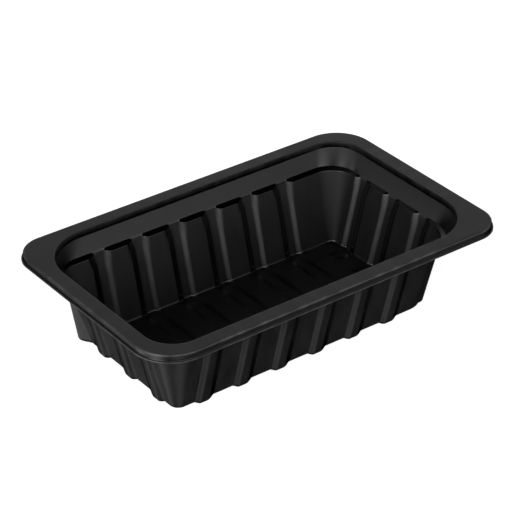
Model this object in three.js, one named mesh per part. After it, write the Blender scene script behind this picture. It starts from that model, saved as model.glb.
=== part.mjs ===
// Black plastic food tray, one thermoformed sheet of polypropylene.
// Millimetres, +Z up. X is the long side, Y the short side, and the tray stands on z = 0.
import * as THREE from 'three';

// ---------------------------------------------------------------- driving dimensions
const LENGTH = 265;              // over the trim edge
const WIDTH = 163;
const HEIGHT = 65;               // from the feet to the flat of the rim
const SHEET = 0.7;               // wall thickness
const TRIM_EDGE = 1.1;           // flat edge left by the trimming knife, outside the lip
const FLANGE = 10.2;             // from the lip's face to the wall of the opening, long sides
const SHORT_FLANGE = 10.8;       // the same on the short sides, as a mean of the two
const BODY_SHIFT = -0.8;         // the body stands this far off the rim's centre along X
const LIP_DEPTH = 4.3;           // top of the flange down to the trim edge
const LIP_RADIUS = 1.0;          // round edge between flange and lip
const OPENING_RADIUS = 1.2;      // round edge between flange and opening

// wall, given as depth below the flange and inset from the wall of the opening
const STEP_DEPTH = 3.8;          // upright step below the opening's edge
const COLLAR_TOP = { inset: 1.0, depth: 5.5 };
const COLLAR_END = { inset: 5.9, depth: 13.8 };
const LEDGE_END = { inset: 9.2, depth: 14.9 };
const PANEL_TOP = { inset: 10.2, depth: 16.4 };
const PANEL_DRAFT = 0.258;       // inset gained for each millimetre of depth, about 15 degrees
const FLOOR_FILLET = 2.0;        // round foot of the wall, inside
const FOOT = 1.0;                // the floor channels stand this much below the floor

// grooves: the wall steps out between its panels, and each groove runs on over the floor
const GROOVE_DEPTH = 2.8;
const GROOVE_MOUTH_TOP = 14.0;
const GROOVE_MOUTH_FOOT = 11.0;
const GROOVE_SIDE = 3.6;         // run of each slanted side of a groove
const ARCH = { height: 2.4, widening: 1.2 };  // a panel's top corners are cut back this much
const LONG_GROOVES = { count: 6, pitch: 28.8, middle: -7.1 };
const RIGHT_GROOVES = { count: 3, pitch: 30.3, middle: 4.8 };
const LEFT_GROOVES = { count: 3, pitch: 29.2, middle: -0.5 };

// floor: the long channels cross it, and the short walls' channels run out at its two ends
const FLOOR_END_LEFT = -88.7;
const FLOOR_END_RIGHT = 83.0;
const SHORT_CHANNEL_RAMP = 3.0;

// corners in plan: two diagonal ones are grip tabs, with a wide flange inside a tight outer corner
const TAB_FRONT = { foot: 13.0, ledge: 24.0, opening: 34.7, flange: 18.3 };
const TAB_REAR = { foot: 8.0, ledge: 11.0, opening: 34.7, flange: 18.3 };
const PLAIN = { foot: 5.4, ledge: 16.5, opening: 20.3, flange: 24.5 };
const CORNER_RIB = { reach: 8.2, crest: 0.1, root: 0.3 };  // on the rear tab corner's diagonal

const SIDES = 8;                 // four walls and four corners, counted anticlockwise from the front
const ARC_STEPS = 12;            // facets in each rounded corner
// a slanted groove side as [share of its run, share of the groove's depth]
const SIDE_SHAPE = [[0, 0], [0.3, 0.2], [0.7, 0.8], [1, 1]];

// ---------------------------------------------------------------- derived sizes
const LIP_X = LENGTH / 2 - TRIM_EDGE;              // face of the lip
const OPENING_X = LIP_X - SHORT_FLANGE;            // wall of the opening
const OPENING_Y = WIDTH / 2 - TRIM_EDGE - FLANGE;
const FLOOR_DEPTH = HEIGHT - FOOT - SHEET;         // inner floor below the flange

const mix = (from, to, share) => from + (to - from) * share;
const shareOf = (value, from, to) => Math.min(1, Math.max(0, (value - from) / (to - from)));

// ---------------------------------------------------------------- the wall in section
// Each station is [inset, depth]. The panel list and the groove list run in step with each other.
function wallSection() {
  const lipFace = -FLANGE;
  const rim = [
    [lipFace - TRIM_EDGE, LIP_DEPTH],
    [lipFace, LIP_DEPTH],
    [lipFace, LIP_RADIUS],
    [lipFace + 0.3 * LIP_RADIUS, 0.3 * LIP_RADIUS],
    [lipFace + LIP_RADIUS, 0],
    [-OPENING_RADIUS, 0],
    [-0.3 * OPENING_RADIUS, 0.3 * OPENING_RADIUS],
    [0, OPENING_RADIUS],
    [0.1, STEP_DEPTH],
    [0.4, STEP_DEPTH + 0.9],
    [COLLAR_TOP.inset, COLLAR_TOP.depth],
  ];
  const panelAt = (depth) => PANEL_TOP.inset + PANEL_DRAFT * (depth - PANEL_TOP.depth);
  const archFoot = PANEL_TOP.depth + ARCH.height;
  const footTop = FLOOR_DEPTH - FLOOR_FILLET;
  const panel = [
    [COLLAR_END.inset, COLLAR_END.depth],
    [LEDGE_END.inset, LEDGE_END.depth],
    [PANEL_TOP.inset - 0.3, PANEL_TOP.depth - 0.9],
    [PANEL_TOP.inset, PANEL_TOP.depth],
    [panelAt(archFoot), archFoot],
    [panelAt(footTop), footTop],
    [panelAt(FLOOR_DEPTH) + 0.2, FLOOR_DEPTH - 0.5],
    [panelAt(FLOOR_DEPTH) + 1.4, FLOOR_DEPTH],
  ];
  const collarSlope = (COLLAR_END.inset - COLLAR_TOP.inset) / (COLLAR_END.depth - COLLAR_TOP.depth);
  const collarAt = (depth) => COLLAR_END.inset + collarSlope * (depth - COLLAR_END.depth);
  const back = panel.map(([inset, depth]) => {
    if (depth < PANEL_TOP.depth) return [collarAt(depth), depth];
    const drop = depth > archFoot ? FOOT : 0;
    return [inset - GROOVE_DEPTH + PANEL_DRAFT * drop, depth + drop];
  });
  return { panel: rim.concat(panel), back: rim.concat(back), rimStations: rim.length };
}

// How far each station moves outwards and down when the section is thickened by the sheet.
function sheetSteps(stations) {
  const normal = (a, b) => {
    const [di, dd] = [b[0] - a[0], b[1] - a[1]];
    const length = Math.hypot(di, dd);
    return [dd / length, di / length];
  };
  const last = stations.length - 1;
  return stations.map((station, i) => {
    if (i === 0 || i === last) return { out: 0, down: SHEET };
    const before = normal(stations[i - 1], station);
    const after = normal(station, stations[i + 1]);
    const fit = SHEET / (1 + before[0] * after[0] + before[1] * after[1]);
    return { out: fit * (before[0] + after[0]), down: fit * (before[1] + after[1]) };
  });
}

// ---------------------------------------------------------------- corners in plan
function cornerRadius(corner, inset, depth) {
  const flangeOuter = -FLANGE + LIP_RADIUS;
  const openingEdge = corner.opening + OPENING_RADIUS;
  if (inset < flangeOuter) return corner.flange + (flangeOuter - inset);
  if (inset < -OPENING_RADIUS) {
    return mix(corner.flange, openingEdge, shareOf(inset, flangeOuter, -OPENING_RADIUS));
  }
  if (inset < 0) return corner.opening - inset;
  if (inset < LEDGE_END.inset) {
    return mix(corner.opening, corner.ledge, shareOf(inset, COLLAR_TOP.inset, LEDGE_END.inset));
  }
  return mix(corner.ledge, corner.foot, shareOf(depth, LEDGE_END.depth, FLOOR_DEPTH));
}

// The rib on a corner's diagonal grows from nothing at the panel's top. `turn` is 0 to 1 along the arc.
function cornerRib(turn, depth) {
  const reach = CORNER_RIB.reach * shareOf(depth, PANEL_TOP.depth, FLOOR_DEPTH);
  const fade = shareOf(Math.abs(turn - 0.5), CORNER_RIB.crest, CORNER_RIB.root);
  return reach * (1 + Math.cos(Math.PI * fade)) / 2;
}

// ---------------------------------------------------------------- grooves along a wall
// One column for each facet edge: where it is along the wall, and its share of the groove's depth.
function grooveColumns(grooves, depth) {
  const mouth = mix(GROOVE_MOUTH_TOP, GROOVE_MOUTH_FOOT, shareOf(depth, PANEL_TOP.depth, FLOOR_DEPTH));
  const arch = 1 - shareOf(depth, PANEL_TOP.depth, PANEL_TOP.depth + ARCH.height);
  const halfMouth = mouth / 2 + ARCH.widening * arch;
  const columns = [];
  for (let k = 0; k < grooves.count; k++) {
    const centre = grooves.middle + grooves.pitch * (k - (grooves.count - 1) / 2);
    for (const [run, out] of SIDE_SHAPE) {
      columns.push({ along: centre - halfMouth + run * GROOVE_SIDE, out });
    }
    for (const [run, out] of [...SIDE_SHAPE].reverse()) {
      columns.push({ along: centre + halfMouth - run * GROOVE_SIDE, out });
    }
  }
  return columns;
}

// ---------------------------------------------------------------- rings
// A ring is one station of the section carried round the tray, anticlockwise from above. Each
// point has a key, side + share, so that two rings with different points can be joined in order.
function makeRing(station, back, withGrooves) {
  const [inset, depth] = station;
  const onRim = inset < -FLANGE / 2;
  const middle = onRim ? 0 : BODY_SHIFT;
  const hx = onRim ? LIP_X - FLANGE - inset : OPENING_X - inset;
  const hy = OPENING_Y - inset;
  const points = [];

  // columns along a wall: `place` turns (along, outward step) into x and y
  const wall = (side, columns, place) => {
    if (!withGrooves) return;
    columns.forEach(({ along, out }, i) => {
      const outward = out * (inset - back[0]);
      const z = HEIGHT - depth - out * (back[1] - depth);
      const [x, y] = place(along, outward);
      points.push({ key: side + (i + 1) / (columns.length + 1), x, y, z, out });
    });
  };
  const corner = (side, signX, signY, shape, from) => {
    const radius = cornerRadius(shape, inset, depth);
    for (let i = 0; i <= ARC_STEPS; i++) {
      const turn = i / ARC_STEPS;
      const angle = from + (Math.PI / 2) * turn;
      const rib = shape === TAB_REAR ? cornerRib(turn, depth) * Math.SQRT1_2 : 0;
      points.push({
        key: side + turn / 2,
        x: middle + signX * (hx - radius + rib) + radius * Math.cos(angle),
        y: signY * (hy - radius + rib) + radius * Math.sin(angle),
        z: HEIGHT - depth,
        out: 0,
      });
    }
  };

  const ends = [{ along: FLOOR_END_LEFT, out: 0 }, { along: FLOOR_END_RIGHT, out: 0 }];
  const long = [ends[0], ...grooveColumns(LONG_GROOVES, depth), ends[1]];
  const right = grooveColumns(RIGHT_GROOVES, depth);
  const left = grooveColumns(LEFT_GROOVES, depth);
  wall(0, long, (along, outward) => [along, -hy - outward]);
  corner(1, 1, -1, TAB_FRONT, -Math.PI / 2);
  wall(2, right, (along, outward) => [middle + hx + outward, along]);
  corner(3, 1, 1, PLAIN, 0);
  wall(4, [...long].reverse(), (along, outward) => [along, hy + outward]);
  corner(5, -1, 1, TAB_REAR, Math.PI / 2);
  wall(6, [...left].reverse(), (along, outward) => [middle - hx - outward, along]);
  corner(7, -1, -1, PLAIN, Math.PI);
  return points;
}

// The ring on the other face of the sheet: each point moves along the ring's own normal in plan.
function otherFace(ring, panelStep, backStep) {
  const outwards = (a, b) => {
    const length = Math.hypot(b.x - a.x, b.y - a.y);
    return [(b.y - a.y) / length, (a.x - b.x) / length];
  };
  return ring.map((point, i) => {
    const before = outwards(ring.at(i - 1), point);
    const after = outwards(point, ring[(i + 1) % ring.length]);
    const fit = 1 / (1 + before[0] * after[0] + before[1] * after[1]);
    const move = fit * mix(panelStep.out, backStep.out, point.out);
    return {
      ...point,
      x: point.x + move * (before[0] + after[0]),
      y: point.y + move * (before[1] + after[1]),
      z: point.z - mix(panelStep.down, backStep.down, point.out),
    };
  });
}

// ---------------------------------------------------------------- mesh
const vertices = [];
const triangles = [];

function addPoint({ x, y, z }) {
  vertices.push(x, y, z);
  return vertices.length / 3 - 1;
}

function addRing(points) {
  return points.map((point) => ({ key: point.key, id: addPoint(point) }));
}

// Joins two rings by walking both in the order of their keys. `lower` is the next ring inwards.
function band(upper, lower, flip) {
  const add = (a, b, c) => triangles.push(flip ? [a, c, b] : [a, b, c]);
  const at = (ring, n) => ring[n % ring.length];
  const keyAt = (ring, n) => at(ring, n).key + (n >= ring.length ? SIDES : 0);
  let [i, j] = [0, 0];
  while (i < upper.length || j < lower.length) {
    const stepUpper = j >= lower.length
      || (i < upper.length && keyAt(upper, i + 1) <= keyAt(lower, j + 1));
    if (stepUpper) {
      add(at(upper, i).id, at(upper, i + 1).id, at(lower, j).id);
      i += 1;
    } else {
      add(at(upper, i).id, at(lower, j + 1).id, at(lower, j).id);
      j += 1;
    }
  }
}

// Fills the strip between two lines of points, each running the same way.
function strip(left, right, flip) {
  const add = (a, b, c) => triangles.push(flip ? [a, c, b] : [a, b, c]);
  const point = (id) => vertices.slice(3 * id, 3 * id + 3);
  const distance = (a, b) => new THREE.Vector3(...point(a)).distanceTo(new THREE.Vector3(...point(b)));
  let [i, j] = [0, 0];
  while (i < left.length - 1 || j < right.length - 1) {
    const canLeft = i < left.length - 1;
    const canRight = j < right.length - 1;
    if (canLeft && (!canRight || distance(left[i + 1], right[j]) <= distance(left[i], right[j + 1]))) {
      add(left[i], right[j], left[i + 1]);
      i += 1;
    } else {
      add(left[i], right[j], right[j + 1]);
      j += 1;
    }
  }
}

// The floor inside the last ring. `flip` turns the underside over.
function floor(ring, level, flip) {
  const side = (n) => ring.filter(({ key }) => Math.floor(key) === n).map(({ id }) => id);
  const [front, frontRight, right, rearRight] = [0, 1, 2, 3].map(side);
  const [rear, rearLeft, left, frontLeft] = [4, 5, 6, 7].map(side);
  const place = (id) => ({ x: vertices[3 * id], y: vertices[3 * id + 1], z: vertices[3 * id + 2] });
  const copyAt = (id, x, z) => addPoint({ x, y: place(id).y, z });

  // an end of the tray: a flat line, the line where the short channels reach full depth, the wall
  const end = (x, sign, wallIds) => {
    const flat = wallIds.map((id) => copyAt(id, x, level));
    const ramp = wallIds.map((id) => copyAt(id, x + sign * SHORT_CHANNEL_RAMP, place(id).z));
    strip(flat, ramp, flip !== (sign < 0));
    strip(ramp, wallIds, flip !== (sign < 0));
    return { flat, ramp };
  };
  const rightEnd = end(FLOOR_END_RIGHT, 1, [frontRight.at(-1), ...right, rearRight[0]]);
  const leftEnd = end(FLOOR_END_LEFT, -1, [frontLeft[0], ...left.reverse(), rearLeft.at(-1)]);

  // a corner: a fan from the end of the ramp line, round the arc and on to the flat line
  const fan = (apex, rim, turn) => {
    for (let i = 0; i < rim.length - 1; i++) {
      triangles.push(turn ? [apex, rim[i + 1], rim[i]] : [apex, rim[i], rim[i + 1]]);
    }
  };
  fan(rightEnd.ramp[0], [...frontRight.reverse(), front.at(-1), rightEnd.flat[0]], !flip);
  fan(rightEnd.ramp.at(-1), [...rearRight, rear[0], rightEnd.flat.at(-1)], flip);
  fan(leftEnd.ramp.at(-1), [...rearLeft.reverse(), rear.at(-1), leftEnd.flat.at(-1)], !flip);
  fan(leftEnd.ramp[0], [...frontLeft, front[0], leftEnd.flat[0]], flip);

  // the channels: straight strips from the front foot to the rear foot
  const lines = front.map((id, i) => [id, rear.at(-1 - i)]);
  lines[0].splice(1, 0, ...leftEnd.flat);
  lines.at(-1).splice(1, 0, ...rightEnd.flat);
  for (let i = 0; i < lines.length - 1; i++) strip(lines[i], lines[i + 1], flip);
}

function trayGeometry() {
  const { panel, back, rimStations } = wallSection();
  const panelSteps = sheetSteps(panel);
  const backSteps = sheetSteps(back);
  const insideRings = panel.map((station, i) => makeRing(station, back[i], i >= rimStations));
  const outsideRings = insideRings.map((ring, i) => otherFace(ring, panelSteps[i], backSteps[i]));
  const inner = insideRings.map(addRing);
  const outer = outsideRings.map(addRing);

  band(outer[0], inner[0], false);
  for (let i = 0; i < inner.length - 1; i++) {
    band(inner[i], inner[i + 1], false);
    band(outer[i], outer[i + 1], true);
  }
  floor(inner.at(-1), HEIGHT - FLOOR_DEPTH, false);
  floor(outer.at(-1), HEIGHT - FLOOR_DEPTH - SHEET, true);

  const geometry = new THREE.BufferGeometry();
  geometry.setAttribute('position', new THREE.Float32BufferAttribute(vertices, 3));
  geometry.setIndex(triangles.flat());
  geometry.computeVertexNormals();
  return geometry;
}

const blackPlastic = new THREE.MeshStandardMaterial({ color: 0x0e0e10, roughness: 0.35, metalness: 0 });
const tray = new THREE.Mesh(trayGeometry(), blackPlastic);
tray.name = 'tray';

const model = new THREE.Group();
model.add(tray);

export default model;
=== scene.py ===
# %% [markdown]
# # A black plastic food tray
#
# The real tray starts as a flat sheet of black polypropylene, 0.7 mm thick. The sheet is warmed and
# drawn over a mould, so the whole tray is one skin: a flat rim with a turned-down lip, a sloping
# collar, a narrow ledge, and walls that are stiffened by rows of upright flutes. This lesson makes
# that skin as a grid, lets Geometry Nodes press the flutes into it, and gives it its thickness
# last.

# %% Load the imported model
import math

import bpy
import numpy as np
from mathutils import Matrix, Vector


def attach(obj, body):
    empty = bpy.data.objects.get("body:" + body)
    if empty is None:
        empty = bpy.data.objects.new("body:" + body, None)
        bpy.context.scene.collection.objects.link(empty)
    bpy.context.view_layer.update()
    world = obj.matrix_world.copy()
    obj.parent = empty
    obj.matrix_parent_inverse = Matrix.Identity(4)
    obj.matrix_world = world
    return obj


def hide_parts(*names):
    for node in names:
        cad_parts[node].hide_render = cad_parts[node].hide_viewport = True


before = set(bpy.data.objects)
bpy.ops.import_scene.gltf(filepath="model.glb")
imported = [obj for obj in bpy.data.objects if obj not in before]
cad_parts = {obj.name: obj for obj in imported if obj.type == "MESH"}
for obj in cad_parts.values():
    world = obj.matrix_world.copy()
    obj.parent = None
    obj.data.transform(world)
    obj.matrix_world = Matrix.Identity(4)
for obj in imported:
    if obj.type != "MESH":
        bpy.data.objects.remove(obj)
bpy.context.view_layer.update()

MM = 0.001                       # Blender works in metres, and the tray's sizes are in millimetres

# %% [markdown]
# ## The camera
#
# The photograph was taken with a long lens from the front left, looking down at the tray. A long
# lens keeps the far side nearly as large as the near side. The place below was worked out from the
# straight lines of the rim, which run to two vanishing points.

# %% Put the camera where the photograph was taken
CAMERA_PLACE = Vector((-713.5, -942.2, 779.1)) * MM
CAMERA_AIM = Vector((0.51226, 0.67942, -0.52533))
LENS = 156.48                    # millimetres, on a sensor 36 mm wide

camera = bpy.data.objects.new("camera", bpy.data.cameras.new("camera"))
camera.data.lens = LENS
camera.data.sensor_width = 36.0
camera.location = CAMERA_PLACE
camera.rotation_mode = "QUATERNION"
camera.rotation_quaternion = CAMERA_AIM.to_track_quat("-Z", "Y")
bpy.context.scene.collection.objects.link(camera)
bpy.context.scene.camera = camera
print("camera stands", round(CAMERA_PLACE.length, 3), "m from the tray")

# %% [markdown]
# ## Node trees without the typing
#
# A material or a geometry tree is a graph, and graphs are tedious to write one link at a time. The
# small class below wraps one output socket, so that sums on sockets become Math nodes. Every other
# kind of node comes from one method, which takes the node's settings first and its sockets second.

# %% A socket that can be added and multiplied
class Socket:
    """One output socket of a node tree. Arithmetic on it adds Math nodes to the tree."""

    def __init__(self, tree, link):
        self.tree = tree
        self.link = link

    def math(self, operation, *values):
        return self.tree.node("ShaderNodeMath", {"operation": operation}, list(values))[0]

    def __add__(self, other):
        return self.math("ADD", self, other)

    def __sub__(self, other):
        return self.math("SUBTRACT", self, other)

    def __rsub__(self, other):
        return self.math("SUBTRACT", other, self)

    def __mul__(self, other):
        return self.math("MULTIPLY", self, other)

    def __truediv__(self, other):
        return self.math("DIVIDE", self, other)

    def size(self):
        return self.math("ABSOLUTE", self)

    def clamped(self):
        return self.math("MINIMUM", self.math("MAXIMUM", self, 0.0), 1.0)

    __radd__ = __add__
    __rmul__ = __mul__


class Nodes:
    """Builds nodes in one tree."""

    def __init__(self, tree):
        self.tree = tree

    def node(self, kind, settings, sockets):
        """A node of that kind. `sockets` is a list in socket order, or a dict of socket names."""
        made = self.tree.nodes.new(kind)
        for name, value in settings.items():
            setattr(made, name, value)
        pairs = sockets.items() if isinstance(sockets, dict) else enumerate(sockets)
        for key, value in pairs:
            if isinstance(value, Socket):
                self.tree.links.new(value.link, made.inputs[key])
            elif value is not None:
                made.inputs[key].default_value = value
        return [Socket(self, output) for output in made.outputs if output.enabled]

    def named(self, kind, settings, name):
        """The output of that name of a node without inputs."""
        return next(socket for socket in self.node(kind, settings, {}) if socket.link.name == name)


print("socket arithmetic is ready")

# %% [markdown]
# ## The section of the wall
#
# Cut the tray across and the skin shows as one line. It starts at the trimmed border, climbs the
# lip, crosses the rim, steps down into the opening, slopes in along the collar, crosses the ledge
# and runs down the wall to the floor. The line is written as a few corners, each with the radius of
# its bend, and an arc is then run round each corner. A bend is what catches the light on black
# plastic.

# %% Sizes of the tray, in millimetres
LENGTH = 265.0
WIDTH = 163.0
HEIGHT = 65.0
SHEET = 0.7
TRIM_EDGE = 1.1
FLANGE = 10.2
SHORT_FLANGE = 10.8
BODY_SHIFT = -0.8                # the body stands this far off the rim's centre along X
LIP_DEPTH = 4.3
FOOT = 1.0                       # the floor's channels stand this much below the floor
FLOOR_DEPTH = HEIGHT - FOOT - SHEET

COLLAR_TOP = (0.12, 4.3)         # inset from the opening, depth below the rim
COLLAR_END = (5.9, 13.8)
PANEL_TOP = (9.87, 15.12)
PANEL_DRAFT = 0.258              # inset gained for each millimetre of depth
PANEL_FOOT = PANEL_TOP[0] + PANEL_DRAFT * (FLOOR_DEPTH - PANEL_TOP[1])
FLOOR_BORDER = 1.9               # the section runs on this far over the floor
COLLAR_EXTRA = (0.8, 0.5)        # on the short walls the collar runs on this much further

SECTION = [                      # inset, depth, radius of the bend
    (-FLANGE - TRIM_EDGE, LIP_DEPTH, 0.0),
    (-FLANGE, LIP_DEPTH, 0.5),
    (-FLANGE, 0.0, 0.9),
    (0.0, 0.0, 0.5),
    (*COLLAR_TOP, 0.9),
    (*COLLAR_END, 0.5),
    (*PANEL_TOP, 0.7),
    (PANEL_FOOT, FLOOR_DEPTH, 2.2),
    (PANEL_FOOT + FLOOR_BORDER, FLOOR_DEPTH, 0.0),
]
print("the walls meet the floor", round(PANEL_FOOT, 1), "mm inside the opening")

# %% Round the corners of the section
SHORTEST_STRAIGHT = 1.0          # a straight shorter than this needs no points between its ends
SHADING_MARGIN = 0.45            # the first point of a straight is this far from its bend


def rounded(corners, steps, spacing):
    """The corners as a fine line: an arc at each bend, and points about `spacing` apart between."""
    line = [np.array(corners[0][:2])]
    for before, corner, after in zip(corners, corners[1:], corners[2:]):
        at = np.array(corner[:2])
        to_before = np.array(before[:2]) - at
        to_after = np.array(after[:2]) - at
        to_before /= np.linalg.norm(to_before)
        to_after /= np.linalg.norm(to_after)
        half = math.acos(np.clip(to_before @ to_after, -1, 1)) / 2
        reach = corner[2] / math.tan(half)
        bisector = (to_before + to_after) / np.linalg.norm(to_before + to_after)
        middle = at + bisector * corner[2] / math.sin(half)
        start = at + to_before * reach - middle
        end = at + to_after * reach - middle
        turn = math.pi - 2 * half
        arc = []
        for share in np.arange(steps + 1) / steps:
            swing = start * math.sin((1 - share) * turn) + end * math.sin(share * turn)
            arc.append(middle + swing / math.sin(turn))
        line.extend(straight(line[-1], arc[0], spacing))
        line.extend(arc)
    line.extend(straight(line[-1], np.array(corners[-1][:2]), spacing))
    line.append(np.array(corners[-1][:2]))
    return np.array(line)


def straight(start, end, spacing):
    """Points between two ends, with one close to each end so that a bend's shading stays narrow."""
    length = np.linalg.norm(end - start)
    if length < SHORTEST_STRAIGHT:
        return []
    margin = SHADING_MARGIN / length
    shares = np.linspace(margin, 1 - margin, max(2, int(length / spacing) + 1))
    return [start + (end - start) * share for share in shares]


section = rounded(SECTION, steps=5, spacing=6.0)
print("the section has", len(section), "points")

# %% [markdown]
# ## Corners and columns
#
# Seen from above, the tray is a rounded rectangle at every depth. Two corners on one diagonal are
# grip tabs: their opening is drawn with a wide radius, so the rim is broad there. The radius of
# each corner changes down the wall. One grid column stands at each place round the tray, and each
# point is given what the flutes need to know: how far it is from the middle of its flute, and how
# deep.

# %% Where the flutes stand
LONG_FLUTES = {"count": 6, "pitch": 28.8, "middle": -7.1}
RIGHT_FLUTES = {"count": 3, "pitch": 30.3, "middle": 4.8}
LEFT_FLUTES = {"count": 3, "pitch": 29.2, "middle": -0.5}
FLUTE_COLUMNS = [0.0, 1.6, *np.arange(2.7, 8.9, 0.55), 9.4]   # distances from a flute's middle
FLOOR_ENDS = (-88.7, 83.0)       # the long channels lie between these lines
NO_FLUTE = 99.0                  # a distance from a flute's middle that is far outside it


def wall_columns(flutes, ends):
    """(place along the wall, distance from the flute's middle) for each column, in order."""
    columns = [(end, NO_FLUTE) for end in ends]
    places = np.arange(flutes["count"]) - (flutes["count"] - 1) / 2
    centres = flutes["middle"] + flutes["pitch"] * places
    for centre in centres:
        for across in [-a for a in FLUTE_COLUMNS[:0:-1]] + FLUTE_COLUMNS:
            columns.append((centre + across, across))
    for centre in centres[:-1]:
        columns.append((centre + flutes["pitch"] / 2, NO_FLUTE))
    return sorted(columns)


long_columns = wall_columns(LONG_FLUTES, FLOOR_ENDS)
right_columns = wall_columns(RIGHT_FLUTES, ())
left_columns = wall_columns(LEFT_FLUTES, ())
print("columns on a long wall:", len(long_columns), " on a short wall:", len(right_columns))

# %% The corners' radii and ribs
TAB_FRONT = {"foot": 13.0, "ledge": 24.0, "opening": 34.7, "flange": 18.3}
TAB_REAR = {"foot": 8.0, "ledge": 11.0, "opening": 34.7, "flange": 18.3}
PLAIN = {"foot": 5.4, "ledge": 16.5, "opening": 20.3, "flange": 24.5}

# A rib on a tab's corner: how far it reaches, its place on the way round, and half its width at
# its crest and at its root, all but the first as shares of the way round
REAR_RIB = {"reach": 8.2, "place": 0.5, "crest": 0.1, "root": 0.3}
FRONT_RIB = {"reach": 2.2, "place": 0.66, "crest": 0.12, "root": 0.24}

LIP_X = LENGTH / 2 - TRIM_EDGE
OPENING_X = LIP_X - SHORT_FLANGE
OPENING_Y = WIDTH / 2 - TRIM_EDGE - FLANGE
OPENING_BEND = 0.5
RIM_BEND = 1.0                   # the bend at the rim's outer edge ends this far in
COLLAR_SPAN = [1.0, 9.2]         # the insets between which a corner's radius changes on the collar


def corner_radius(corner, inset, depth):
    """A corner's radius where the section has that inset and depth."""
    rim_edge = RIM_BEND - FLANGE
    if inset < rim_edge:
        return corner["flange"] + rim_edge - inset
    if inset < 0:
        edge = corner["opening"] + OPENING_BEND
        if inset > -OPENING_BEND:
            return corner["opening"] - inset
        return np.interp(inset, [rim_edge, -OPENING_BEND], [corner["flange"], edge])
    if depth < PANEL_TOP[1]:
        return np.interp(inset, COLLAR_SPAN, [corner["opening"], corner["ledge"]])
    return np.interp(depth, [PANEL_TOP[1], FLOOR_DEPTH], [corner["ledge"], corner["foot"]])


front_radii = TAB_FRONT["flange"], TAB_FRONT["foot"]
print("radius of the front tab's corner at the rim and at the floor:", front_radii)

# %% How a rib rises, and how columns give way to a corner
ARC_STEPS = 24
SQUEEZED_PART = 30.0             # only this much at each end of a wall may give way to its corner
CORNER_GAP = 1.0                 # the least distance from a wall's last column to its corner


def rib_height(rib, turn, depth):
    """How far a rib stands out, at a share of the way round its corner."""
    reach = rib["reach"] * np.interp(depth, [PANEL_TOP[1], FLOOR_DEPTH], [0, 1])
    fade = np.interp(abs(turn - rib["place"]), [rib["crest"], rib["root"]], [0, 1])
    return reach * (1 + math.cos(math.pi * fade)) / 2


def squeezed(columns, low, high):
    """The columns of a wall, kept between low and high, where its straight part ends."""
    along = np.array([a for a, _ in columns])
    first, last = along[0], along[-1]
    fixed = [first + SQUEEZED_PART, last - SQUEEZED_PART]
    along = np.interp(along, [first, *fixed, last],
                      [max(first, low + CORNER_GAP), *fixed, min(last, high - CORNER_GAP)])
    return list(zip(along, [across for _, across in columns]))


middle_rib = rib_height(REAR_RIB, REAR_RIB["place"], HEIGHT / 2)
print("halfway down, the rear rib stands out", round(middle_rib, 1), "mm")

# %% Carry the section round the tray
ACROSS = 3                       # where a row keeps the distance from its flute's middle

# How much of the short walls' section a corner has, at these shares of the way round it
BLEND_PLACES = (0, 0.35, 0.65, 1)
TO_SHORT = (0, 0.35, 0.65, 1)
TO_LONG = (1, 0.65, 0.35, 0)
FAR_TO_LONG = (1, 1, 0.8, 0)


def ring(inset, depth):
    """One turn round the tray: rows of x, y, z, distance from the flute's middle, the wall's
    direction, how much of the short walls' section the point has, its inset and its depth."""
    on_rim = inset < -FLANGE / 2
    middle = 0.0 if on_rim else BODY_SHIFT
    extra = np.interp(inset, [COLLAR_TOP[0], COLLAR_END[0], PANEL_TOP[0]], [0, 1, 0])
    front, rear, plain = (corner_radius(c, inset, depth) for c in (TAB_FRONT, TAB_REAR, PLAIN))
    rows = []

    def sides(short):
        """Half the ring's length and width, its height, and its inset and depth."""
        at = inset + COLLAR_EXTRA[0] * extra * short
        down = depth + COLLAR_EXTRA[1] * extra * short
        half_length = LIP_X - FLANGE if on_rim else OPENING_X
        return half_length - at, OPENING_Y - at, HEIGHT - down, at, down

    def wall(columns, short, direction):
        half_x, half_y, z, at, down = sides(short)
        for a, across in columns:
            if direction[1]:
                x, y = a, direction[1] * half_y
            else:
                x, y = middle + direction[0] * half_x, a
            rows.append((x, y, z, across, *direction, short, at, down))

    def arc(sign_x, sign_y, radius, start, rib, shorts):
        for k in range(ARC_STEPS + 1):
            turn = k / ARC_STEPS
            angle = start + math.pi / 2 * turn
            short = np.interp(turn, BLEND_PLACES, shorts)
            half_x, half_y, z, at, down = sides(short)
            out = rib_height(rib, turn, depth) * math.sqrt(0.5) if rib else 0.0
            rows.append((middle + sign_x * (half_x - radius + out) + radius * math.cos(angle),
                         sign_y * (half_y - radius + out) + radius * math.sin(angle),
                         z, NO_FLUTE, 0, 0, short, at, down))

    half_x, half_y = sides(0)[:2]
    wall(squeezed(long_columns, middle - half_x + plain, middle + half_x - front), 0, (0, -1))
    arc(1, -1, front, -math.pi / 2, FRONT_RIB, TO_SHORT)
    wall(squeezed(right_columns, front - half_y, half_y - plain), 1, (1, 0))
    arc(1, 1, plain, 0, None, FAR_TO_LONG)
    wall(squeezed(long_columns, middle - half_x + rear, middle + half_x - plain)[::-1], 0, (0, 1))
    arc(-1, 1, rear, math.pi / 2, REAR_RIB, TO_SHORT)
    wall(squeezed(left_columns, plain - half_y, half_y - rear)[::-1], 1, (-1, 0))
    arc(-1, -1, plain, math.pi, None, TO_LONG)
    return rows


rings = np.array([ring(inset, depth) for inset, depth in section])
per_ring = rings.shape[1]
print("rings:", rings.shape[0], " points in each:", per_ring)

# %% [markdown]
# ## The floor
#
# Each flute runs on across the floor as a shallow channel, so the front and rear columns of the
# last ring are joined by straight lines. The short walls' channels run out a little way in. Strips
# between neighbouring lines are filled by always taking the shorter diagonal.

# %% Lay the floor between the columns
CHANNEL_RAMP = 3.0               # a short wall's channel runs out over this length
LINE_STEPS = 8                   # steps along a line that crosses the floor

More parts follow.
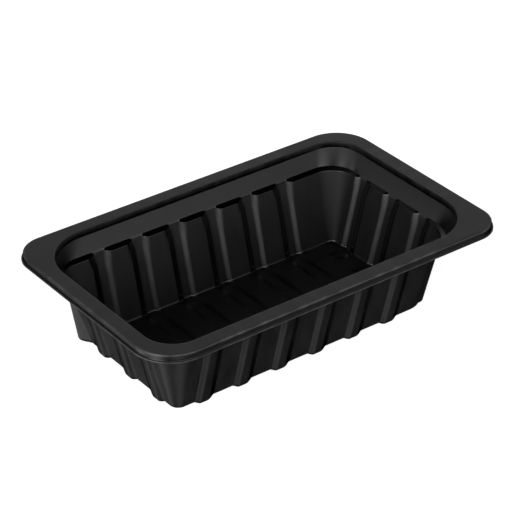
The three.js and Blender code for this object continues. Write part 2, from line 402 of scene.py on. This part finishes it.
points = [list(row) for row in rings.reshape(-1, rings.shape[2])]
drops = [None] * len(points)
faces = []
for j in range(len(section) - 1):
    for i in range(per_ring):
        n = (i + 1) % per_ring
        upper, lower = j * per_ring, (j + 1) * per_ring
        faces.append((upper + i, upper + n, lower + n, lower + i))


def add_point(x, y, across, drop):
    """A floor point, with the share of the channel's depth that it may sink."""
    points.append([x, y, HEIGHT - FLOOR_DEPTH, across, 0, 0, 0, PANEL_FOOT, FLOOR_DEPTH])
    drops.append(drop)
    return len(points) - 1


def gap(one, other):
    """The distance between two points, seen from above."""
    return math.dist(points[one][:2], points[other][:2])


def strip(left, right):
    """Triangles between two lines of points that run the same way."""
    i = j = 0
    while i < len(left) - 1 or j < len(right) - 1:
        across_left = gap(left[min(i + 1, len(left) - 1)], right[j])
        across_right = gap(left[i], right[min(j + 1, len(right) - 1)])
        if i < len(left) - 1 and (j == len(right) - 1 or across_left <= across_right):
            faces.append((left[i], right[j], left[i + 1]))
            i += 1
        else:
            faces.append((left[i], right[j], right[j + 1]))
            j += 1


def fan(apex, rim):
    """Triangles from one point to each pair of neighbours on a line."""
    for a, b in zip(rim, rim[1:]):
        faces.append((apex, a, b))


counts = []                      # the last ring's points on each wall and on the corner after it
for columns in (long_columns, right_columns, long_columns, left_columns):
    counts += [len(columns), ARC_STEPS + 1]
starts = np.cumsum([0] + counts[:-1]) + (len(section) - 1) * per_ring
front, front_right, right, rear_right, rear, rear_left, left, front_left = (
    list(range(start, start + count)) for start, count in zip(starts, counts)
)


def floor_end(x, sign, wall):
    """The flat line and the line where the short channels reach their depth, at one end."""
    flat = [add_point(x, points[i][1], NO_FLUTE, 0) for i in wall]
    ramp = [add_point(x + sign * CHANNEL_RAMP, points[i][1], points[i][ACROSS], 1) for i in wall]
    lines = (flat, ramp, wall) if sign > 0 else (wall, ramp, flat)
    strip(lines[0], lines[1])
    strip(lines[1], lines[2])
    return flat, ramp


right_flat, right_ramp = floor_end(FLOOR_ENDS[1], 1, [front_right[-1]] + right + [rear_right[0]])
left_flat, left_ramp = floor_end(FLOOR_ENDS[0], -1, [front_left[0]] + left[::-1] + [rear_left[-1]])
fan(right_ramp[0], [right_flat[0], front[-1]] + front_right)
fan(right_ramp[-1], rear_right + [rear[0], right_flat[-1]])
fan(left_ramp[-1], [left_flat[-1], rear[-1]] + rear_left)
fan(left_ramp[0], front_left + [front[0], left_flat[0]])

lines = [[front[0]] + left_flat + [rear[-1]]]
for a, b in zip(front[1:-1], rear[-2:0:-1]):
    x, low, high, across = points[a][0], points[a][1], points[b][1], points[a][ACROSS]
    crossing = [low + (high - low) * k / LINE_STEPS for k in range(1, LINE_STEPS)]
    lines.append([a] + [add_point(x, y, across, 1) for y in crossing] + [b])
lines.append([front[-1]] + right_flat + [rear[0]])
for one, other in zip(lines, lines[1:]):
    strip(one, other)
print("grid:", len(points), "points,", len(faces), "faces")

# %% Make the plain skin, with what each point knows about the flutes
FLUTE_DEPTH = 2.8
SHORT_GENTLER = 0.7              # how much gentler the gentle sides are on the short walls
HEAD_START = 0.5                 # a flute starts this much above the collar's end
FULL_BELOW = 2.5                 # it has its full depth from here, measured below the panel's top,
EASED_BELOW = 10.0               # and only this share of it from here down
EASED_REACH = 0.78
SINK_START = 5.0                 # the foot begins to sink this far below the panel's top
SINK_END = 3.0                   # and is right down this far above the floor

points = np.array(points)
across_flute, out_x, out_y, shorts, insets, depths = points[:, ACROSS:].T
below_top = depths - PANEL_TOP[1]
on_floor = np.array([drop is not None for drop in drops])
end_inset = COLLAR_END[0] + COLLAR_EXTRA[0] * shorts
end_depth = COLLAR_END[1] + COLLAR_EXTRA[1] * shorts
collar_slope = (end_inset - COLLAR_TOP[0]) / (end_depth - COLLAR_TOP[1])
collar_at = end_inset + collar_slope * (depths - end_depth)
reach = np.clip((insets - collar_at) / FLUTE_DEPTH, 0, 1) * (depths > end_depth - HEAD_START)
reach = np.maximum(reach, np.interp(below_top, [0, FULL_BELOW], [0, 1]))
reach *= np.interp(below_top, [FULL_BELOW, EASED_BELOW], [1, EASED_REACH])
facing = across_flute * (out_x + out_y)
gentle = (1 - np.clip(facing, -1, 1)) / 2 * (1 + SHORT_GENTLER * shorts)
sink = np.interp(depths, [PANEL_TOP[1] + SINK_START, FLOOR_DEPTH - SINK_END], [0, 1])
sink[on_floor] = [drop for drop in drops if drop is not None]
reach[on_floor] = 0

skin = bpy.data.meshes.new("skin")
skin.from_pydata([tuple(p) for p in points[:, :3] * MM], [], faces)
knowledge = {
    "across": across_flute, "depth": depths, "reach": reach, "sink": sink, "gentle": gentle,
    "lip": insets < RIM_BEND - FLANGE,
}


def write(mesh, name, values):
    """Keeps one number for each point of a mesh under that name."""
    mesh.attributes.new(name, "FLOAT", "POINT").data.foreach_set("value", values.astype(np.float32))


for name, values in knowledge.items():
    write(skin, name, values)
outwards = np.column_stack([out_x, out_y, np.zeros(len(points))]).astype(np.float32)
outwards_there = skin.attributes.new("outwards", "FLOAT_VECTOR", "POINT")
outwards_there.data.foreach_set("vector", outwards.ravel())
print("skin:", len(skin.vertices), "points")

# %% [markdown]
# ## Black polypropylene
#
# The plastic is black all through, so nearly all that is seen of it is reflection. The inside has a
# satin surface and the outside is glossier. The grey is given by depth: it is a little paler on the
# rim, and darker on the step, the lip, the ledge and the floor, which is painted shade. The bends
# are smoother than the flats beside them. They are also painted darker, as painted shade, except
# at the rim's outer edge, where they are painted paler, as a painted highlight. The creases are
# painted deep black, as painted shade. On the flutes the steep side is painted paler, as a painted
# highlight, and the gentle side darker, as painted shade. Four values on each point say this, and
# the nodes below turn them into Base Color and Roughness, with streaks along the way the sheet was
# drawn. Fine grain and faint forming waves come last, as bump.

# %% The material of the tray
WAVES = {"scale": 45.0, "detail": 2.0, "roughness": 0.5}       # the scale is per metre
GRAIN = {"scale": 1500.0, "detail": 3.0, "roughness": 0.6}
STREAKS = {"scale": 160.0, "detail": 3.0, "roughness": 0.6}
STREAK_STRETCH = (1.0, 1.0, 0.14)
WAVE_HEIGHT = 0.05               # millimetres
GRAIN_HEIGHT = 0.003
WAVE_ROUGH, GRAIN_ROUGH, STREAK_ROUGH = 0.06, 0.05, 0.16
STREAK_GREY = 1.6                # how much the streaks vary the grey around its mean
EDGE_POLISH = 0.26               # how much less rough a bend is than the flat beside it
RED_SHARE, GREEN_SHARE = 0.98, 0.99
PLASTIC_IOR = 1.5

plastic = bpy.data.materials.new("black_plastic")
plastic.use_nodes = True
plastic.node_tree.nodes.clear()
shader = Nodes(plastic.node_tree)
place = shader.named("ShaderNodeTexCoord", {}, "Object")


def painted(name):
    """A value that each point of the tray carries."""
    return shader.named("ShaderNodeAttribute", {"attribute_name": name}, "Fac")


def noise(vector, kind):
    """A noise between about 0 and 1, with a mean of a half."""
    return shader.node("ShaderNodeTexNoise", {}, {
        "Vector": vector, "Scale": kind["scale"],
        "Detail": kind["detail"], "Roughness": kind["roughness"],
    })[0]


waves = noise(place, WAVES)
grain = noise(place, GRAIN)
stretched = shader.node("ShaderNodeVectorMath", {"operation": "MULTIPLY"}, [
    place, STREAK_STRETCH,
])[0]
streaks = noise(stretched, STREAKS)
edge, crease_shade_and_polish = painted("edge"), painted("crease_shade_and_polish")
# painted shade: the grey goes to black in the concave bends; the streaks vary it at random
grey = painted("grey_and_painted_light") * (1 - crease_shade_and_polish) * (1 - STREAK_GREY / 2 + streaks * STREAK_GREY)
varied = waves * WAVE_ROUGH + grain * GRAIN_ROUGH + streaks * STREAK_ROUGH
varied_mean = (WAVE_ROUGH + GRAIN_ROUGH + STREAK_ROUGH) / 2
rough = painted("satin") + varied - varied_mean - (edge + crease_shade_and_polish) * EDGE_POLISH
tint = shader.node("ShaderNodeCombineColor", {}, {
    "Red": grey * RED_SHARE, "Green": grey * GREEN_SHARE, "Blue": grey,
})[0]
height = waves * WAVE_HEIGHT + grain * GRAIN_HEIGHT
bump = shader.node("ShaderNodeBump", {}, {"Strength": 1.0, "Distance": MM, "Height": height})[0]
surface = shader.node("ShaderNodeBsdfPrincipled", {}, {
    "Base Color": tint, "Roughness": rough, "IOR": PLASTIC_IOR, "Normal": bump,
})[0]
shader.node("ShaderNodeOutputMaterial", {}, {"Surface": surface})
print("material:", plastic.name, "with", len(plastic.node_tree.nodes), "nodes")

# %% [markdown]
# ## Pressing the flutes
#
# A flute is the same rule at every point: the nearer to the flute's middle, the further the skin is
# pushed out. One side of a flute is steep and the other gentle, and its mouth widens in a small
# arch under the ledge. A Geometry Nodes tree is a good home for such a rule, because its sizes stay
# as named inputs that can be turned afterwards. The tree also marks the sides, for the finish and
# the painted highlight and shade on them.

# %% The tree that presses the flutes
FLUTE_SIZES = {
    "Flute Depth": FLUTE_DEPTH,
    "Steep Half": 6.5, "Steep Run": 3.2, "Gentle Half": 7.4, "Gentle Run": 5.2,
    "Arch Height": 2.6, "Arch Widening": 1.3, "Arch Start": PANEL_TOP[1] + 0.8,
    "Foot Drop": FOOT, "Draft": PANEL_DRAFT,
}
tree = bpy.data.node_groups.new("press_flutes", "GeometryNodeTree")
tree.interface.new_socket("Geometry", in_out="INPUT", socket_type="NodeSocketGeometry")
for name in FLUTE_SIZES:
    tree.interface.new_socket(name, in_out="INPUT", socket_type="NodeSocketFloat")
tree.interface.new_socket("Geometry", in_out="OUTPUT", socket_type="NodeSocketGeometry")
press = Nodes(tree)
given = {socket.link.name: socket for socket in press.node("NodeGroupInput", {}, {})}


def known(name, data_type="FLOAT"):
    """What each point knows under that name."""
    kind = "GeometryNodeInputNamedAttribute"
    return press.node(kind, {"data_type": data_type}, {"Name": name})[0]


across = known("across").size()
depth = known("depth")
gentle = known("gentle")
reach = known("reach")
arch = 1 - ((depth - given["Arch Start"]) / given["Arch Height"]).clamped()
half = given["Steep Half"] + (given["Gentle Half"] - given["Steep Half"]) * gentle
half = half + given["Arch Widening"] * arch * arch
run = given["Steep Run"] + (given["Gentle Run"] - given["Steep Run"]) * gentle
ramp = ((half - across) / run).clamped()
share = ramp * 0.5 + ramp * ramp * (3 - ramp * 2) * 0.5     # half straight, half smooth
sunk = given["Foot Drop"] * known("sink") * share
pushed = (given["Flute Depth"] * share - given["Draft"] * sunk) * reach
sideways = press.node("ShaderNodeVectorMath", {"operation": "SCALE"}, {
    "Vector": known("outwards", "FLOAT_VECTOR"), "Scale": pushed * MM,
})[0]
downwards = press.node("ShaderNodeCombineXYZ", {}, {"Z": sunk * -MM})[0]
move = press.node("ShaderNodeVectorMath", {"operation": "ADD"}, [sideways, downwards])[0]
moved = press.node("GeometryNodeSetPosition", {}, {
    "Geometry": given["Geometry"], "Offset": move,
})[0]
real = press.node("GeometryNodeRealizeInstances", {}, {"Geometry": moved})[0]
halfway_up = ramp * (1 - ramp) * 4.0                        # 1 in the middle of a side
marked = press.node("GeometryNodeStoreNamedAttribute", {"data_type": "FLOAT", "domain": "POINT"}, {
    "Geometry": real, "Name": "side", "Value": halfway_up,
})[0]
coated = press.node("GeometryNodeSetMaterial", {}, {"Geometry": marked, "Material": plastic})[0]
press.node("NodeGroupOutput", {}, {"Geometry": coated})
print("flute tree:", len(tree.nodes), "nodes")

# %% What the finish and its painted light depend on
# painted shade: the inside grey is black on the step, lip and ledge, and darker on the floor
FINISH_AND_PAINTED_SHADE = [                       # depth, grey and roughness inside, grey and roughness outside
    (0.0, 0.012, 0.50, 0.000, 0.22),
    (0.9, 0.012, 0.50, 0.000, 0.22),
    (1.2, 0.000, 0.18, 0.000, 0.22),
    (3.8, 0.000, 0.18, 0.000, 0.22),
    (4.4, 0.005, 0.50, 0.010, 0.36),
    (13.2, 0.005, 0.50, 0.014, 0.36),
    (13.8, 0.000, 0.10, 0.014, 0.36),
    (15.1, 0.000, 0.10, 0.014, 0.36),
    (15.8, 0.004, 0.48, 0.014, 0.36),
    (61.5, 0.004, 0.48, 0.014, 0.36),
    (62.5, 0.002, 0.50, 0.002, 0.33),
]
SIDE_POLISH = 0.3                # how much less rough the gentle side of a flute is
SIDE_GAIN = 1.6                  # the polish, and its painted shade, cover more of that side the larger this is
LEAST_SATIN = 0.05
STEEP_SIDE_HIGHLIGHT = 0.05                 # painted highlight: how grey the steep side of a flute is on the inside
SIDE_FADE = 2.5                  # it fades out over this height above the floor
RIM_EDGE_HIGHLIGHT = 0.06               # painted highlight: how grey the rim's outer edge is
EDGE_DEPTHS = [5.0, 16.0]        # between these depths
EDGE_SHARES = [1.0, 0.35]        # the bends lose this much of their effect
FULL_BEND = 0.25                 # the curvature, in 1/mm, at which a bend counts in full
LEAST_STEP = 0.1                 # a shorter edge of the grid counts as this long, in mm
SMOOTHINGS = 2
print("the finish is given at", len(FINISH_AND_PAINTED_SHADE), "depths")


# %% Measure the bends and paint the points
def read(mesh, name):
    """The numbers that the points of a mesh know under that name."""
    values = np.empty(len(mesh.vertices), np.float32)
    mesh.attributes[name].data.foreach_get("value", values)
    return values


def read_vectors(things, name):
    """A vector of each of the things, as rows."""
    values = np.empty(len(things) * 3, np.float32)
    things.foreach_get(name, values)
    return values.reshape(-1, 3)


def bends(mesh):
    """The curvature of the surface at each point, in 1/mm, above 0 where it bulges out."""
    ends = np.empty(len(mesh.edges) * 2, np.int32)
    mesh.edges.foreach_get("vertices", ends)
    one, other = ends.reshape(-1, 2).T
    place = read_vectors(mesh.vertices, "co") / MM
    normal = read_vectors(mesh.vertices, "normal")
    step = place[other] - place[one]
    turn = ((normal[other] - normal[one]) * step).sum(1)
    length = np.sqrt(np.maximum((step ** 2).sum(1), LEAST_STEP ** 2))
    total, weight = np.zeros(len(place)), np.zeros(len(place))
    for end in (one, other):
        np.add.at(total, end, turn / length)
        np.add.at(weight, end, length)
    bend = total / weight
    for _ in range(SMOOTHINGS):
        total, weight = bend.copy(), np.ones(len(place))
        for end, far_end in ((one, other), (other, one)):
            np.add.at(total, end, bend[far_end])
            np.add.at(weight, end, 1)
        bend = total / weight
    return bend


def paint_points(mesh):
    """Writes grey, satin and the bends out and in on the sheet, whose second half is its outside.
    The grey carries painted shade and painted highlights, and the bends in are also painted shade.
    """
    count = len(mesh.vertices)
    depth, side, gentle, lip = (read(mesh, name) for name in ("depth", "side", "gentle", "lip"))
    outside = np.arange(count) >= count // 2
    depths, *columns = np.array(FINISH_AND_PAINTED_SHADE).T
    pale_in, satin_in, pale_out, satin_out = (np.interp(depth, depths, c) for c in columns)
    bend = bends(mesh) / FULL_BEND
    edge = np.clip(bend, 0, 1) * np.interp(depth, EDGE_DEPTHS, EDGE_SHARES)
    # the concave bends, which are polished and, in the material, painted black as painted shade
    crease_shade_and_polish = np.clip(-bend, 0, 1)
    side *= depth > PANEL_TOP[1]
    # the gentle side of a flute is polished and painted darker, as painted shade
    polished_and_shaded = np.clip(side * gentle * SIDE_GAIN, 0, 1)
    satin = np.where(outside, satin_out, satin_in) - SIDE_POLISH * polished_and_shaded
    wall = np.interp(depth, [FLOOR_DEPTH - SIDE_FADE, FLOOR_DEPTH], [1, 0])
    grey_and_painted_light = np.where(outside, pale_out, pale_in) * (1 - polished_and_shaded)
    # painted highlight on the steep side of a flute inside, fading out just above the floor
    grey_and_painted_light += STEEP_SIDE_HIGHLIGHT * side * np.clip(1 - gentle, 0, 1) * wall * ~outside
    # the bends out are painted darker, as painted shade, and on the rim's outer edge paler, as a
    # painted highlight
    grey_and_painted_light = grey_and_painted_light * (1 - edge) + RIM_EDGE_HIGHLIGHT * edge * lip
    values = {"grey_and_painted_light": grey_and_painted_light, "satin": np.maximum(satin, LEAST_SATIN), "edge": edge, "crease_shade_and_polish": crease_shade_and_polish}
    for name, value in values.items():
        write(mesh, name, value)
        print(name, "from", round(float(value.min()), 4), "to", round(float(value.max()), 4))


print("the painter is ready")

# %% Press the skin and give it its thickness
SHARP = math.radians(75)         # a fold sharper than this stays a hard edge

blank = bpy.data.objects.new("blank", skin)
bpy.context.scene.collection.objects.link(blank)
flutes = blank.modifiers.new("flutes", "NODES")
flutes.node_group = tree
inputs = [item for item in tree.interface.items_tree if item.in_out == "INPUT"]
identifiers = {item.name: item.identifier for item in inputs}
for name, size in FLUTE_SIZES.items():
    flutes[identifiers[name]] = float(size)
sheet = blank.modifiers.new("sheet", "SOLIDIFY")
sheet.thickness = SHEET * MM
sheet.offset = -1.0
sheet.use_even_offset = True

formed = blank.evaluated_get(bpy.context.evaluated_depsgraph_get())
mesh = bpy.data.meshes.new_from_object(formed)
mesh.name = "formed_tray"
bpy.data.objects.remove(blank)
paint_points(mesh)
for name in (*knowledge, "side", "outwards"):
    mesh.attributes.remove(mesh.attributes[name])
mesh.polygons.foreach_set("use_smooth", [True] * len(mesh.polygons))
mesh.set_sharp_from_angle(angle=SHARP)
formed_tray = bpy.data.objects.new("formed_tray", mesh)
bpy.context.scene.collection.objects.link(formed_tray)
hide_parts("tray")
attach(formed_tray, "root")
triangles = sum(len(face.vertices) - 2 for face in mesh.polygons)
print("formed tray:", len(mesh.vertices), "points,", triangles, "triangles")

# %% [markdown]
# ## Floor and light
#
# The tray was photographed on white, under soft light from the front left. Black plastic shows its
# surroundings, so the light is a dark room with soft patches of light round it, placed so that each
# face of the tray mirrors the right amount. The white ground glows by itself, takes a faint shadow
# from the tray's feet, and is hidden from the tray's own reflections.

# %% The white floor
GROUND_SIZE = 6.0                # metres
GROUND_GAP = 0.2 * MM            # the ground lies this far under the feet
GLOW = 0.78
WHITENESS = 0.8

bpy.ops.mesh.primitive_plane_add(size=GROUND_SIZE, location=(0, 0, -GROUND_GAP))
ground = bpy.context.object
ground.name = "ground"
white = bpy.data.materials.new("white_ground")
white.use_nodes = True
white.node_tree.nodes.clear()
paper = Nodes(white.node_tree)
glow = paper.node("ShaderNodeEmission", {}, {"Color": (1, 1, 1, 1), "Strength": GLOW})[0]
matt = paper.node("ShaderNodeBsdfDiffuse", {}, {"Color": (WHITENESS, WHITENESS, WHITENESS, 1)})[0]
both = paper.node("ShaderNodeAddShader", {}, [glow, matt])[0]
paper.node("ShaderNodeOutputMaterial", {}, {"Surface": both})
ground.data.materials.append(white)
ground.visible_glossy = False
ground.visible_diffuse = False
print("ground is ready")

# %% The studio's light
PATCHES = [                      # azimuth from +Y towards +X and elevation in degrees, strength
    (-108, 28, 4.2), (-160, 24, 2.6), (167, 31, 2.5), (-140, 20, 0.5),
    (-55, 32, 1.1), (42, 13, 0.75), (30, 29, 0.35), (140, -5, 1.25),
    (-103, -14, 5.4), (152, -21, 0.15), (-58, -38, 1.4), (-163, -48, 0.95),
]
PATCH_FOCUS = 20.0               # the larger, the smaller each patch


def towards(azimuth, elevation):
    """The direction that lies at that azimuth and elevation, both in degrees."""
    azimuth, elevation = math.radians(azimuth), math.radians(elevation)
    level = math.cos(elevation)
    return math.sin(azimuth) * level, math.cos(azimuth) * level, math.sin(elevation)


scene = bpy.context.scene
scene.view_settings.view_transform = "Standard"
scene.world = bpy.data.worlds.new("studio")
scene.world.use_nodes = True
scene.world.node_tree.nodes.clear()
room = Nodes(scene.world.node_tree)
direction = room.named("ShaderNodeTexCoord", {}, "Generated")
strength = 0.0
for azimuth, elevation, power in PATCHES:
    centre = towards(azimuth, elevation)
    near = room.node("ShaderNodeVectorMath", {"operation": "DOT_PRODUCT"}, [direction, centre])[0]
    fade = room.node("ShaderNodeMath", {"operation": "EXPONENT"}, [(near - 1) * PATCH_FOCUS])[0]
    strength = fade * power + strength
seen = room.named("ShaderNodeLightPath", {}, "Is Camera Ray")
backdrop = strength * (1 - seen) + seen
sky = room.node("ShaderNodeBackground", {}, {"Color": (1, 1, 1, 1), "Strength": backdrop})[0]
room.node("ShaderNodeOutputWorld", {}, {"Surface": sky})
print("light patches:", len(PATCHES))
